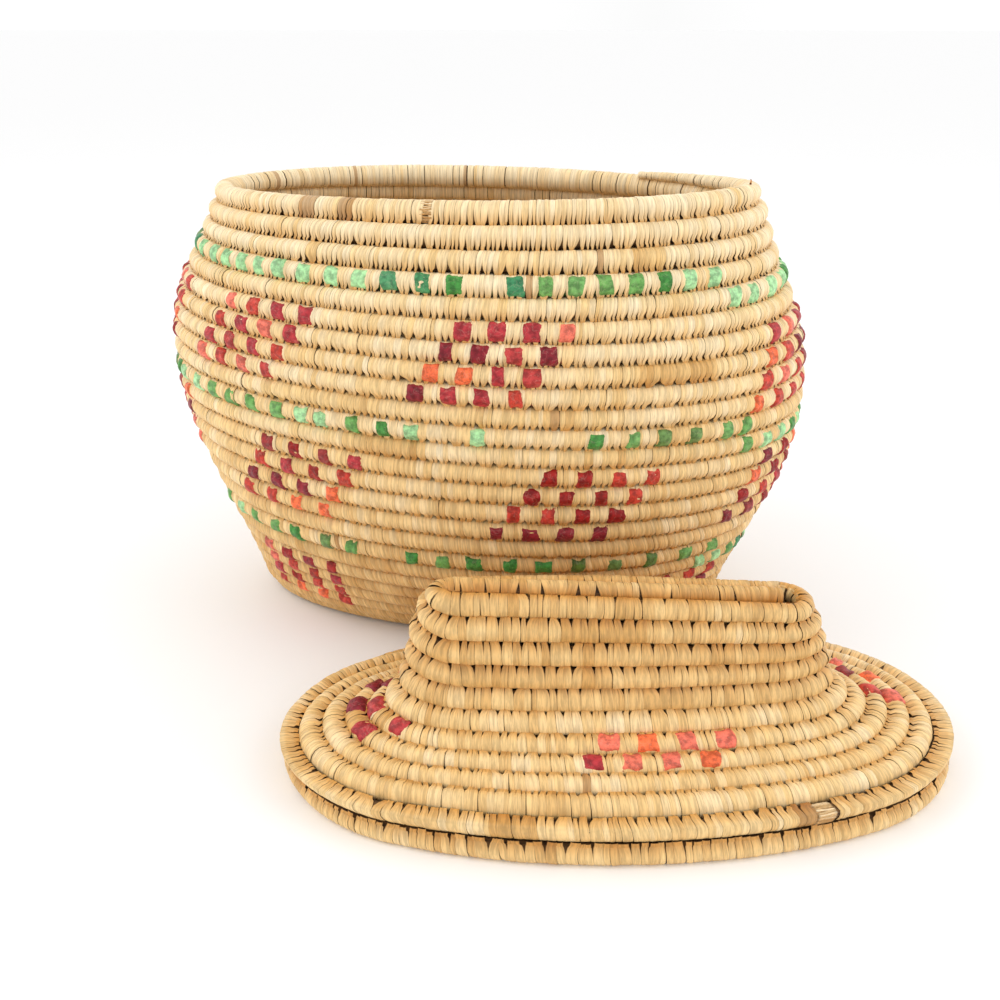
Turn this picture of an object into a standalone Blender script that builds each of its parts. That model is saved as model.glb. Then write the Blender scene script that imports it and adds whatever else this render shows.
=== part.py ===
"""Oval coiled grass basket with its lid taken off and stood beside it.

The basket is one bundle of grass wound in a long oval spiral: flat across the base, then up the wall,
row upon row, to the rim. The lid is wound the same way from the top of its knob down to its lip.
Each stretch of the bundle is one unbroken tube, and the dyed strips of gut lie on the outside of it.
Metres, +Z up. The origin is the middle of the basket's base, on the floor.
"""

import math

import bmesh
import bpy
import numpy as np
from mathutils import Matrix, Vector, kdtree

# Basket: outside sizes
BASKET_HEIGHT = 0.2195
FOOT_LENGTH = 0.2495
FOOT_DEPTH = 0.1075
BELLY_LENGTH = 0.3095
BELLY_DEPTH = 0.1975
MOUTH_LENGTH = 0.2555
MOUTH_DEPTH = 0.1485
# Corners of the wall's outline, which is rounded inside them: share of the height, then how far the length
# and the depth have swelled towards the belly's, from the foot's below and from the mouth's above
LOWER_WALL = ((0.0, 0.0, 0.0), (0.103, 0.11, 0.39), (0.294, 0.54, 0.76), (0.499, 1.06, 0.90))
UPPER_WALL = ((0.709, 1.09, 1.07), (0.885, 0.39, 0.75), (1.0, 0.0, 0.0))
BASE_ROWS = 5
WALL_ROWS = 24
# Bundle thickness as a share, at the row counted from the middle of the base
BASKET_THICKNESS = (
    (0.0, 1.12),
    (4.4, 1.12),
    (5.2, 0.86),
    (8.5, 0.94),
    (11.5, 1.10),
    (14.5, 1.14),
    (17.5, 1.06),
    (20.5, 1.01),
    (26.8, 1.02),
    (28.2, 1.12),
    (29.0, 1.15),
)
# How far the rows drop towards the right half way up, as a slope, and the rim's height against a row's
ROW_DROOP = 0.048
RIM_THICKNESS = 1.15
RIM_END = 29.40
RIM_TAPER_TURNS = 0.20
RIM_TAPER = 0.30

# Lid: outside sizes, the waist of its knob, and the levels of the middle of its flat rows and of its lip
LID_HEIGHT = 0.0785
LID_LENGTH = 0.2910
LID_DEPTH = 0.1500
KNOB_LENGTH = 0.1715
KNOB_DEPTH = 0.0430
FLAT_LEVEL = 0.0130
LIP_LEVEL = 0.0040
# Corners of the knob's outline: share of its half depth, share of its height over the flat rows, tilt
KNOB_OUTLINE = (
    (0.00, 1.00, 0.030),
    (0.61, 0.99, 0.030),
    (0.79, 0.83, 0.020),
    (0.94, 0.61, 0.008),
    (1.00, 0.41, 0.0),
)
# Corners from the knob to the edge: share of the way in length and in depth, share of the knob's height
LID_OUTLINE = (
    (0.12, 0.072, 0.289),
    (0.30, 0.268, 0.162),
    (0.60, 0.521, 0.079),
    (0.82, 0.764, 0.038),
    (1.00, 0.990, 0.016),
)
LID_ROWS = 12
LID_THICKNESS = ((0, 1.0), (10.1, 1.0), (10.4, 1.12), (11.5, 1.12), (11.8, 0.90), (12.5, 0.90))
LID_END = 12.62
LID_STEP_SHARE = 0.7
KNOB_SHIFT = 0.004
# Where the lid stands: right of the basket's middle, and as near to it as the clear space allows
LID_RIGHT = 0.0765
LID_CLEARANCE = 0.0034
LID_TURN = math.radians(9.7)

# Winding
POINTS_PER_TURN = 16
OVAL_FROM_ROW = 1.0
OVAL_BY_ROW = 4.0
BASKET_OVAL = 1.0
LID_OVAL = 0.62
CLIMB_BY_ROW = 4.0
FREE_END = 0.375
ROW_GAP = 0.0008
FLAT_ANGLE = math.pi / 6
FACE_GAP = 0.0003
FLAT_CUT = 0.1

# Stretches of the bundle, by row counted from the middle
BASKET_STRETCHES = (
    ("base_coil", FREE_END, 4.53),
    ("foot_coil", 4.53, 7.53),
    ("lower_wall_coil", 7.53, 11.53),
    ("middle_wall_coil", 11.53, 15.53),
    ("belly_coil", 15.53, 20.03),
    ("shoulder_coil", 20.03, 24.53),
    ("neck_coil", 24.53, 28.47),
    ("rim_coil", 28.47, RIM_END),
)
LID_STRETCHES = (
    ("lid_crown_coil", FREE_END, 5.53),
    ("lid_flange_coil", 5.53, 10.53),
    ("lid_edge_coil", 10.53, 11.53),
    ("lid_lip_coil", 11.53, LID_END),
)
FLAT_UNDER = ("base_coil", "foot_coil", "lid_lip_coil")

# Dyed gut
GUT_THICKNESS = 0.0005
GUT_CLEARANCE = 0.0003
GUT_COVER = 0.80
MOTIF_ROWS = 4
# Bands of red motifs: name, lowest row, motifs round, turn of one near the front, its turns, lean by row
RED_BANDS = (
    ("lower", 7, 4, -0.117, 0.072, 0.001),
    ("middle", 14, 7, 0.0465, 0.064, 0.0076),
    ("upper", 21, 8, 0.0074, 0.060, 0.0075),
)
GREEN_ROWS = (("lower", 12), ("middle", 19), ("upper", 26))
GREEN_START = -0.87
GREEN_TURNS = 0.985
LID_MOTIF_ROWS = 2
LID_MOTIF_TURNS = (6.730, 7.026, 7.510, 8.300)
LID_MOTIF_LENGTH = 0.10
LID_MOTIF_LEAN = -0.0127

GRASS = (0.80, 0.62, 0.36)
RIM_GRASS = (0.86, 0.70, 0.46)
RED = (0.62, 0.08, 0.04)
GREEN = (0.16, 0.36, 0.14)


def clear_scene():
    for obj in list(bpy.data.objects):
        bpy.data.objects.remove(obj, do_unlink=True)


def new_collection(name):
    collection = bpy.data.collections.new(name)
    bpy.context.scene.collection.children.link(collection)
    return collection


def new_material(name, colour, roughness):
    material = bpy.data.materials.new(name)
    material.use_nodes = True
    shader = material.node_tree.nodes["Principled BSDF"]
    shader.inputs["Base Color"].default_value = (*colour, 1.0)
    shader.inputs["Roughness"].default_value = roughness
    shader.inputs["Metallic"].default_value = 0.0
    return material


def rounded_outline(corners, rounds=4):
    """The corners cut again and again, a quarter of the way along each side: a smooth line inside them."""
    line = np.array(corners, float)
    for _ in range(rounds):
        near = 0.75 * line[:-1] + 0.25 * line[1:]
        far = 0.25 * line[:-1] + 0.75 * line[1:]
        inner = np.stack([near, far], axis=1).reshape(-1, line.shape[1])
        line = np.vstack([line[:1], inner, line[-1:]])
    return line


class Spiral:
    """A bundle wound row by row along an outline, from a fold in the middle outwards.

    The outline's columns are the reach (half length less half depth), the half depth, the height, the shift
    of the row in Y and its drop towards +X, all on the bundle's middle line. Turns are whole at the front.
    Each half turn runs from a back row round the left end to a front row, or from a front row round the
    right end to a back row. The first rows have straight sides and round ends, and the later ones are ovals,
    wholly with an oval share of 1 and partly with a smaller one.
    A climb of 1 lets the back rows rise half a row too, and 0 makes each step at one end, over step_share.
    """

    def __init__(self, outline, rows, end, thickness, oval, climb, step_share, outside):
        self.line = rounded_outline(outline)
        self.rows = rows
        self.thickness = np.array(thickness, float)
        self.oval = oval
        self.climb = climb
        self.step_share = step_share
        self.outside = outside
        front = self.line[:, 1]
        ends = self.line[:, 0] + front
        rise = np.diff(self.line[:, 2])
        steps = 0.5 * (np.hypot(np.diff(front), rise) + np.hypot(np.diff(ends), rise))
        self.arcs = np.concatenate([[0.0], np.cumsum(steps)])
        self.row_axis = np.linspace(0.0, rows, 50 * rows + 1)
        share = self.thickness_at(self.row_axis)
        self.grown = np.concatenate([[0.0], np.cumsum(0.5 * (share[1:] + share[:-1]))])
        self.grown *= self.arcs[-1] / self.grown[-1]
        first = math.ceil(FREE_END * POINTS_PER_TURN)
        last = math.floor(end * POINTS_PER_TURN)
        turns = np.arange(first, last + 1) / POINTS_PER_TURN
        inner = turns[(turns > FREE_END + 0.01) & (turns < end - 0.01)]
        self.turns = np.concatenate([[FREE_END], inner, [end]])
        self.points = np.array([self.point(t) for t in self.turns])
        self.set_sections()

    def thickness_at(self, turn):
        return np.interp(turn, self.thickness[:, 0], self.thickness[:, 1])

    def arc(self, row):
        """How far along the outline a row lies. Past the last row the line goes on at the same rate."""
        past = np.maximum(np.asarray(row) - self.rows, 0.0)
        rate = (self.grown[-1] - self.grown[-51])
        return np.interp(row, self.row_axis, self.grown) + past * rate

    def outline_at(self, arc):
        values = [np.interp(arc, self.arcs, self.line[:, column]) for column in range(5)]
        past = max(arc - self.arcs[-1], 0.0)
        if past and self.climb:
            slope = self.line[-1] - self.line[-2]
            values = [v + past * d / np.hypot(slope[1], slope[2]) for v, d in zip(values, slope)]
        return values

    def half_row(self, index):
        """Arc, Y and depth of a half row from the middle one: odd ones lie in front, even ones at the back."""
        index = max(index, 0)
        if index % 2:
            row = (index + 1) / 2
        else:
            row = (index + self.climb * min(1.0, index / (2 * CLIMB_BY_ROW))) / 2
        arc = float(self.arc(row))
        _, depth, _, shift, _ = self.outline_at(arc)
        return arc, shift + (-depth if index % 2 else depth), depth

    def point(self, turn):
        index = math.floor(2 * turn - 1)
        share = 2 * turn - 1 - index
        arc, y_from, depth = self.half_row(index)
        arc_to, y_to, depth_to = self.half_row(index + 1)
        if index < 0:
            y_from = y_to + 0.01
        step = self.outline_at(arc + (arc_to - arc) * min(1.0, share / self.step_share))
        reach, _, height, _, slope = step
        half = abs(y_from - y_to) / 2
        end = half + (1 - self.climb) * abs(depth_to - depth) / 2
        swing = math.pi * min(max(2 * share - 0.5, 0.0), 1.0)
        straight = min(1.0, 4 * share, 4 * (1 - share))
        blend = min(max((turn - OVAL_FROM_ROW) / (OVAL_BY_ROW - OVAL_FROM_ROW), 0.0), 1.0)
        blend *= self.oval * blend * (3 - 2 * blend)
        out = (1 - blend) * (reach * straight + end * math.sin(swing))
        out += blend * (reach + end) * math.sin(math.pi * share)
        across = (1 - blend) * math.cos(swing) + blend * math.cos(math.pi * share)
        x = out if index % 2 else -out
        y = (y_from + y_to) / 2 + (y_from - y_to) / 2 * across
        return x, y, height - slope * x

    def middle_line(self, turns):
        return np.stack([np.interp(turns, self.turns, self.points[:, c]) for c in range(3)], 1)

    def set_sections(self):
        """Across every point: the way along the bundle, the way to the next row and the way out of the wall."""
        leg = np.diff(self.points, axis=0)
        leg /= np.linalg.norm(leg, axis=1)[:, None]
        along = np.vstack([leg[:1], leg[1:] + leg[:-1], leg[-1:]])
        self.along = along / np.linalg.norm(along, axis=1)[:, None]
        grid = self.turns
        ahead = np.where(grid + 1 <= grid[-1], grid + 1, grid)
        behind = np.where(grid - 1 >= grid[0], grid - 1, grid)
        up = self.middle_line(ahead) - self.middle_line(behind)
        up -= (up * self.along).sum(1)[:, None] * self.along
        self.up = up / np.linalg.norm(up, axis=1)[:, None]
        self.out = np.cross(self.along, self.up) * self.outside
        level = np.array([0.0, 0.0, 1.0]) - self.along[:, 2:] * self.along
        level /= np.linalg.norm(level, axis=1)[:, None]
        side = np.cross(self.along, level)
        self.tilt = np.arctan2((self.up * side).sum(1), (self.up * level).sum(1))
        self.set_radii()

    def room(self, turn, point, up):
        """The radius that fills the space to the nearest rows, shared by the rows' thickness."""
        start, leg = self.points[:-1], np.diff(self.points, axis=0)
        middle = 0.5 * (self.turns[:-1] + self.turns[1:])
        along = ((point - start) * leg).sum(1) / (leg * leg).sum(1)
        foot = start + np.clip(along, 0, 1)[:, None] * leg
        distance = np.linalg.norm(point - foot, axis=1)
        distance[np.abs(middle - turn) < 0.35] = 1.0
        turned = np.arccos(np.clip(np.abs((foot - point) @ up) / distance, 0, 1))
        folded = np.abs((turned + FLAT_ANGLE) % (2 * FLAT_ANGLE) - FLAT_ANGLE)
        reach = math.cos(FLAT_ANGLE) / np.cos(folded)
        own = self.thickness_at(turn)
        return ((distance - ROW_GAP) * own / (own + self.thickness_at(middle)) / reach).min()

    def set_radii(self):
        """Each point takes the least room found there and half way to its neighbours."""
        at_points = [self.room(*place) for place in zip(self.turns, self.points, self.up)]
        between = []
        for i in range(len(self.turns) - 1):
            turn, point, up = [0.5 * (v[i] + v[i + 1]) for v in (self.turns, self.points, self.up)]
            between.append(self.room(turn, point, up / np.linalg.norm(up)))
        before = np.array([between[0], *between])
        after = np.array([*between, between[-1]])
        self.radius = np.minimum(at_points, np.minimum(before, after))

    def taper(self, turns, least):
        """Thins the last stretch of the bundle and lays it down on the row beneath."""
        left = np.clip((self.turns[-1] - self.turns) / turns, 0.0, 1.0)
        scale = least + (1 - least) * left
        self.points = self.points - self.up * (self.radius * (1 - scale) * 0.87)[:, None]
        self.radius = self.radius * scale

    def index_at(self, turn):
        return float(np.interp(turn, self.turns, np.arange(len(self.turns))))

    def section_point(self, index, side, lift):
        """A point over the bundle's outer ridge (side 0) or down one of its two outer faces (side 1, -1)."""
        low = min(int(index), len(self.points) - 2)
        both = []
        for i in (low, low + 1):
            reach = self.radius[i] + lift / math.cos(math.pi / 6)
            ridge = self.out[i]
            corner = 0.5 * self.out[i] + side * math.sin(math.pi / 3) * self.up[i]
            way = ridge + abs(side) * GUT_COVER * (corner - ridge)
            both.append(self.points[i] + reach * way)
        return both[0] + (index - low) * (both[1] - both[0])


def basket_spiral():
    radius = BASKET_HEIGHT / (WALL_ROWS + 1) / 2 * 1.08
    low = (1 - 2 * FLAT_CUT) * radius
    rise = BASKET_HEIGHT - RIM_THICKNESS * radius - low
    rows = []
    for wall, length, depth in ((LOWER_WALL, FOOT_LENGTH, FOOT_DEPTH), (UPPER_WALL, MOUTH_LENGTH, MOUTH_DEPTH)):
        for height, longer, deeper in wall:
            half_length = (length + longer * (BELLY_LENGTH - length)) / 2 - radius
            half_depth = (depth + deeper * (BELLY_DEPTH - depth)) / 2 - radius
            slope = ROW_DROOP * 4 * height * (1 - height)
            rows.append((half_length - half_depth, half_depth, low + height * rise, 0.0, slope))
    reach, depth, level, _, _ = rows[0]
    base = [(reach, 0.0, level, 0.0, 0.0), (reach, depth - depth / BASE_ROWS, level, 0.0, 0.0)]
    turns = BASE_ROWS + WALL_ROWS
    spiral = Spiral(base + rows, turns, RIM_END, BASKET_THICKNESS, BASKET_OVAL, 1.0, 1.0, 1)
    spiral.taper(RIM_TAPER_TURNS, RIM_TAPER)
    return spiral


def lid_spiral():
    """The lid wound round the upright axis of its knob, as yet unturned and in the middle."""
    radius = (LID_DEPTH - KNOB_DEPTH) / 2 / (LID_ROWS - 1)
    knob_length, knob_depth = KNOB_LENGTH / 2 - radius, KNOB_DEPTH / 2 - radius
    length, depth = LID_LENGTH / 2 - radius, LID_DEPTH / 2 - radius
    knob_height = LID_HEIGHT - radius - FLAT_LEVEL
    outline = []
    for wide, high, tilt in KNOB_OUTLINE:
        shift = KNOB_SHIFT * min(1.0, 2 * (1 - wide) + 0.5)
        reach = knob_length - knob_depth + KNOB_SHIFT - shift
        outline.append((reach, wide * knob_depth, FLAT_LEVEL + high * knob_height, shift, tilt))
    for longer, deeper, high in LID_OUTLINE:
        half_length = knob_length + longer * (length - knob_length)
        half_depth = knob_depth + deeper * (depth - knob_depth)
        outline.append((half_length - half_depth, half_depth, FLAT_LEVEL + high * knob_height, 0.0, 0.0))
    outline.append((length - depth, depth, LIP_LEVEL, 0.0, 0.0))
    return Spiral(outline, LID_ROWS, LID_END, LID_THICKNESS, LID_OVAL, 0.0, LID_STEP_SHARE, -1)


def lid_place(basket, lid):
    """Where the turned lid stands in front of the basket, with LID_CLEARANCE between the two bundles."""
    rotate = np.array(Matrix.Rotation(LID_TURN, 3, "Z"))
    far, near = -BELLY_DEPTH / 2 - LID_DEPTH, 0.0
    wall, edge = np.linspace(BASE_ROWS, RIM_END, 1400), np.linspace(LID_ROWS - 2, LID_END, 300)
    wall_line, edge_line = basket.middle_line(wall), lid.middle_line(edge) @ rotate.T
    reach = np.interp(wall, basket.turns, basket.radius) + np.interp(edge, lid.turns, lid.radius)[:, None]
    for _ in range(24):
        place = 0.5 * (near + far)
        moved = edge_line + np.array([LID_RIGHT, place, 0.0])
        space = (np.linalg.norm(moved[:, None] - wall_line, axis=2) - reach).min()
        near, far = (near, place) if space > LID_CLEARANCE else (place, far)
    return np.array([LID_RIGHT, far, 0.0])


def set_lid_down(lid, place):
    rotate = np.array(Matrix.Rotation(LID_TURN, 3, "Z"))
    lid.points = lid.points @ rotate.T + place
    for name in ("along", "up", "out"):
        setattr(lid, name, getattr(lid, name) @ rotate.T)


def least_gap(obj, turns, sides):
    """The least distance between corners of the tube that are on different turns."""
    depsgraph = bpy.context.evaluated_depsgraph_get()
    mesh = obj.evaluated_get(depsgraph).to_mesh()
    corners = [v.co.copy() for v in mesh.vertices][: len(turns) * sides]
    tree = kdtree.KDTree(len(corners))
    for i, corner in enumerate(corners):
        tree.insert(corner, i)
    tree.balance()
    least = 1.0
    for i, corner in enumerate(corners):
        for _, j, distance in tree.find_range(corner, 0.004):
            if abs(turns[i // sides] - turns[j // sides]) > 0.3:
                least = min(least, distance)
    obj.evaluated_get(depsgraph).to_mesh_clear()
    return least


def coil_object(name, spiral, start, end, material, collection):
    """One stretch of the bundle. Its ends are square and lie in the middle of a straight piece of the path."""
    first = spiral.index_at(start)
    last = spiral.index_at(end)
    inner = [i for i in range(len(spiral.turns)) if first + 0.05 < i < last - 0.05]
    places = [first, *inner, last]
    curve = bpy.data.curves.new(name, "CURVE")
    curve.dimensions = "3D"
    curve.twist_mode = "Z_UP"
    curve.bevel_depth = float(np.median(spiral.radius))
    curve.bevel_resolution = 1
    curve.use_fill_caps = True
    spline = curve.splines.new("POLY")
    spline.points.add(len(places) - 1)
    steps = np.arange(len(spiral.turns))
    centre = [np.interp(places, steps, spiral.points[:, c]) for c in range(3)]
    centre = np.stack(centre, 1)
    for end_at, next_at in ((0, 1), (-1, -2)):
        inward = centre[next_at] - centre[end_at]
        centre[end_at] += inward / np.linalg.norm(inward) * FACE_GAP / 2
    tilt = np.interp(places, steps, np.unwrap(spiral.tilt, period=math.pi / 3))
    radius = np.interp(places, steps, spiral.radius) / curve.bevel_depth
    for i, point in enumerate(spline.points):
        point.co = (*centre[i], 1.0)
        point.tilt = tilt[i]
        point.radius = radius[i]
    spline.use_smooth = True
    curve.materials.append(material)
    obj = bpy.data.objects.new(name, curve)
    collection.objects.link(obj)
    bpy.context.view_layer.update()
    turns = np.interp(places, steps, spiral.turns)
    gap = least_gap(obj, turns, 6)
    print(f"{name}: {turns[-1] - turns[0]:.1f} turns, least gap to itself {gap * 1000:.2f} mm")
    return obj


def floor_cutter(collection):
    bpy.ops.mesh.primitive_cube_add(size=1.0, location=(0.0, 0.0, -0.5))
    cutter = bpy.context.object
    cutter.name = "floor_cutter"
    for other in list(cutter.users_collection):
        other.objects.unlink(cutter)
    collection.objects.link(cutter)
    cutter.hide_render = True
    cutter.display_type = "WIRE"
    return cutter


def cut_flat(obj, cutter, collection):
    """Turns the tube into a mesh with welded caps and cuts its underside flat on the floor."""
    depsgraph = bpy.context.evaluated_depsgraph_get()
    mesh = bpy.data.meshes.new_from_object(obj.evaluated_get(depsgraph))
    name, place, curve = obj.name, obj.matrix_world.copy(), obj.data
    bpy.data.objects.remove(obj, do_unlink=True)
    bpy.data.curves.remove(curve)
    work = bmesh.new()
    work.from_mesh(mesh)
    bmesh.ops.remove_doubles(work, verts=work.verts, dist=1e-6)
    work.to_mesh(mesh)
    work.free()
    mesh.name = name
    flat = bpy.data.objects.new(name, mesh)
    flat.matrix_world = place
    collection.objects.link(flat)
    cut = flat.modifiers.new("flat", "BOOLEAN")
    cut.operation = "DIFFERENCE"
    cut.solver = "EXACT"
    cut.object = cutter
    return flat


def gut_patch(name, spiral, first_row, strips, material, collection):
    """Strips of gut over neighbouring rows, linked to each other across the notches between the rows.

    Each strip is (start, end) in turns. Every column of points lies over the same place in every row.
    """
    base = range(first_row, first_row + len(strips))
    phases = set()
    for row, (start, end) in zip(base, strips):
        phases |= {round(start - row, 5), round(end - row, 5)}
        for t in spiral.turns:
            if start + 0.002 < t < end - 0.002:
                phases.add(round(t - row, 5))
    phases = sorted(phases)
    work = bmesh.new()
    made = []
    for row, (start, end) in zip(base, strips):
        columns = {}
        for phase in phases:
            if start - 1e-4 <= phase + row <= end + 1e-4:
                index = spiral.index_at(phase + row)
                points = [spiral.section_point(index, side, GUT_CLEARANCE) for side in (1, 0, -1)]
                columns[phase] = [work.verts.new(Vector(p)) for p in points]
        used = sorted(columns)
        for a, b in zip(used, used[1:]):
            for k in range(2):
                work.faces.new([columns[a][k], columns[a][k + 1], columns[b][k + 1], columns[b][k]])
        made.append(columns)
    for lower, upper in zip(made, made[1:]):
        shared = sorted(set(lower) & set(upper))
        for a, b in zip(shared, shared[1:]):
            work.faces.new([upper[a][2], lower[a][0], lower[b][0], upper[b][2]])
    bmesh.ops.recalc_face_normals(work, faces=work.faces)
    work.normal_update()
    face = next(iter(work.faces))
    middle = spiral.points[round(spiral.index_at(strips[0][0]))]
    if face.normal.dot(face.calc_center_median() - Vector(middle)) < 0:
        bmesh.ops.reverse_faces(work, faces=work.faces)
    mesh = bpy.data.meshes.new(name)
    work.to_mesh(mesh)
    work.free()
    mesh.materials.append(material)
    obj = bpy.data.objects.new(name, mesh)
    collection.objects.link(obj)
    shell = obj.modifiers.new("thickness", "SOLIDIFY")
    shell.thickness = GUT_THICKNESS
    shell.offset = 1.0
    return obj


def red_motif(name, spiral, first_row, rows, turn, length, lean, material, collection):
    """A leaning block of strips, one to a row: each next row lies a little further along."""
    strips = []
    for k in range(rows):
        middle = first_row + k + turn + lean * k
        strips.append((middle - length / 2, middle + length / 2))
    return gut_patch(name, spiral, first_row, strips, material, collection)


def motif_turns(turn, count):
    """The turns of the motifs round a row, within half a turn of the front."""
    return [(turn + k / count + 0.5) % 1.0 - 0.5 for k in range(count)]


def make_basket(spiral, collection, cutter, red):
    grass = new_material("grass", GRASS, 0.6)
    rim_grass = new_material("rim_grass", RIM_GRASS, 0.55)
    green = new_material("green_gut", GREEN, 0.45)
    for name, start, end in BASKET_STRETCHES:
        material = rim_grass if name == "rim_coil" else grass
        obj = coil_object(name, spiral, start, end, material, collection)
        if name in FLAT_UNDER:
            cut_flat(obj, cutter, collection)
    for band, row in GREEN_ROWS:
        strip = (row + GREEN_START, row + GREEN_START + GREEN_TURNS)
        gut_patch(f"green_strip_{band}", spiral, row, [strip], green, collection)
    for band, row, count, turn, length, lean in RED_BANDS:
        for k, place in enumerate(motif_turns(turn, count)):
            name = f"red_motif_{band}_{k + 1}"
            red_motif(name, spiral, row, MOTIF_ROWS, place, length, lean, red, collection)


def make_lid(spiral, place, collection, cutter, red):
    grass = new_material("lid_grass", GRASS, 0.6)
    axis = bpy.data.objects.new("lid_axis", None)
    axis.location = place
    collection.objects.link(axis)
    bpy.context.view_layer.update()
    made = []
    for name, start, end in LID_STRETCHES:
        obj = coil_object(name, spiral, start, end, grass, collection)
        if name in FLAT_UNDER:
            obj = cut_flat(obj, cutter, collection)
        made.append(obj)
    for k, turn in enumerate(LID_MOTIF_TURNS):
        name = f"lid_red_motif_{k + 1}"
        row = round(turn)
        motif = red_motif(
            name, spiral, row, LID_MOTIF_ROWS, turn - row, LID_MOTIF_LENGTH, LID_MOTIF_LEAN, red, collection
        )
        made.append(motif)
    for obj in made:
        obj.parent = axis
        obj.matrix_parent_inverse = axis.matrix_world.inverted()


clear_scene()
parts = new_collection("grass_basket")
helpers = new_collection("cutters")
floor = floor_cutter(helpers)
red_gut = new_material("red_gut", RED, 0.45)
basket_line, lid_line = basket_spiral(), lid_spiral()
stand = lid_place(basket_line, lid_line)
print(f"the lid stands at {1000 * stand[0]:.1f}, {1000 * stand[1]:.1f} mm")
set_lid_down(lid_line, stand)
make_basket(basket_line, parts, floor, red_gut)
make_lid(lid_line, stand, parts, floor, red_gut)
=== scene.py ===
import math

import bpy
import numpy as np
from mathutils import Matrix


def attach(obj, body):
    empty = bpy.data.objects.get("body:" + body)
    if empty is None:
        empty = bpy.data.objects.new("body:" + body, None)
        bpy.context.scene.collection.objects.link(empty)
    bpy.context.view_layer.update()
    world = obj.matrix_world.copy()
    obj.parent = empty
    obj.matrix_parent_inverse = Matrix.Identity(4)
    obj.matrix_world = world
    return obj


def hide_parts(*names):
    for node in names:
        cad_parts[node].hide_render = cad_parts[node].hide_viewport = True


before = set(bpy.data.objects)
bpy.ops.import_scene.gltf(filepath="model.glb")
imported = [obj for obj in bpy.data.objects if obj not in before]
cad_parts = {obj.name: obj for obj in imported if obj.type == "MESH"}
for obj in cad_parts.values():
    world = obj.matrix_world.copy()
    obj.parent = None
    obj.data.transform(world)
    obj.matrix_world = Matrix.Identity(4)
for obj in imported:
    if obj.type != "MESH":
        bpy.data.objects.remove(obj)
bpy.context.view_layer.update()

# %% [markdown]
# # An oval grass basket and its lid
#
# The real basket is a single bundle of dry grass stems, wound in an oval spiral from the middle of the
# base up to the rim. A strand of split grass is stitched round every row and caught in the row beneath.
# The solid model already has the spiral as a plain tube. Here each row gets its bundle and every one of
# its stitches, all worked out from the same spiral, so that they lie where the solid lies.
#
# First come the camera, a pale floor and soft light. The light comes from all round, as in a white tent,
# a little stronger from the sides and the back than from the front.

# %% Camera, light and floor
LENS = 36.36
CAMERA_PLACE = (0.0763, -0.4851, 0.2850)
CAMERA_TURN = (math.radians(64.65), 0.0, math.radians(8.0))
SKY_EVEN, SKY_SIDES, SKY_BACK = 0.84, 0.36, 0.13
FLOOR_LENGTH = 80.0
FLOOR_SHADE = 0.985
LIGHT_SIZE = 0.9
LIGHT_AIM = (0.0, 0.0, 0.10)


def new_node(nodes, kind, **settings):
    """Adds a node; each setting is one of its inputs by name, or else a property."""
    node = nodes.new(kind)
    for key, value in settings.items():
        if key in node.inputs:
            node.inputs[key].default_value = value
        else:
            setattr(node, key, value)
    return node


def math_node(nodes, links, operation, first, second=0.0, third=0.0):
    """A Math node. Each of its values is a number or another node's output."""
    node = nodes.new("ShaderNodeMath")
    node.operation = operation
    for socket, value in zip(node.inputs, (first, second, third)):
        if isinstance(value, (int, float)):
            socket.default_value = value
        else:
            links.new(value, socket)
    return node.outputs[0]


def add_camera():
    data = bpy.data.cameras.new("camera")
    data.lens = LENS
    data.sensor_width = 36.0
    camera = bpy.data.objects.new("camera", data)
    camera.location = CAMERA_PLACE
    camera.rotation_euler = CAMERA_TURN
    bpy.context.scene.collection.objects.link(camera)
    bpy.context.scene.camera = camera


def add_area_light(name, place, power):
    """A round soft light that points at the middle of the low part of the basket."""
    data = bpy.data.lights.new(name, "AREA")
    data.shape = "DISK"
    data.size = LIGHT_SIZE
    data.energy = power
    light = bpy.data.objects.new(name, data)
    light.location = place
    way = np.array(LIGHT_AIM) - np.array(place)
    level = math.hypot(way[0], way[1])
    light.rotation_euler = (math.atan2(level, -way[2]), 0.0, math.atan2(way[1], way[0]) - math.pi / 2)
    bpy.context.scene.collection.objects.link(light)


def add_sky():
    """Strength is an even part, a part that grows with |x| and one that grows with y."""
    world = bpy.data.worlds.new("studio")
    world.use_nodes = True
    nodes, links = world.node_tree.nodes, world.node_tree.links
    way = new_node(nodes, "ShaderNodeTexCoord")
    split = new_node(nodes, "ShaderNodeSeparateXYZ")
    links.new(way.outputs["Generated"], split.inputs[0])
    side = math_node(nodes, links, "ABSOLUTE", split.outputs["X"])
    strength = math_node(nodes, links, "MULTIPLY_ADD", side, SKY_SIDES, SKY_EVEN)
    strength = math_node(nodes, links, "MULTIPLY_ADD", split.outputs["Y"], SKY_BACK, strength)
    sky = nodes["Background"]
    sky.inputs["Color"].default_value = (1.0, 1.0, 1.0, 1.0)
    links.new(strength, sky.inputs["Strength"])
    bpy.context.scene.world = world


def add_floor():
    half = FLOOR_LENGTH / 2
    mesh = bpy.data.meshes.new("floor")
    corners = [(-half, -half, 0.0), (half, -half, 0.0), (half, half, 0.0), (-half, half, 0.0)]
    mesh.from_pydata(corners, [], [(0, 1, 2, 3)])
    floor = bpy.data.objects.new("floor", mesh)
    bpy.context.scene.collection.objects.link(floor)
    material = bpy.data.materials.new("pale_floor")
    material.use_nodes = True
    shader = material.node_tree.nodes["Principled BSDF"]
    shader.inputs["Base Color"].default_value = (*[FLOOR_SHADE] * 3, 1.0)
    shader.inputs["Roughness"].default_value = 0.9
    shader.inputs["Specular IOR Level"].default_value = 0.1
    mesh.materials.append(material)


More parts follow.
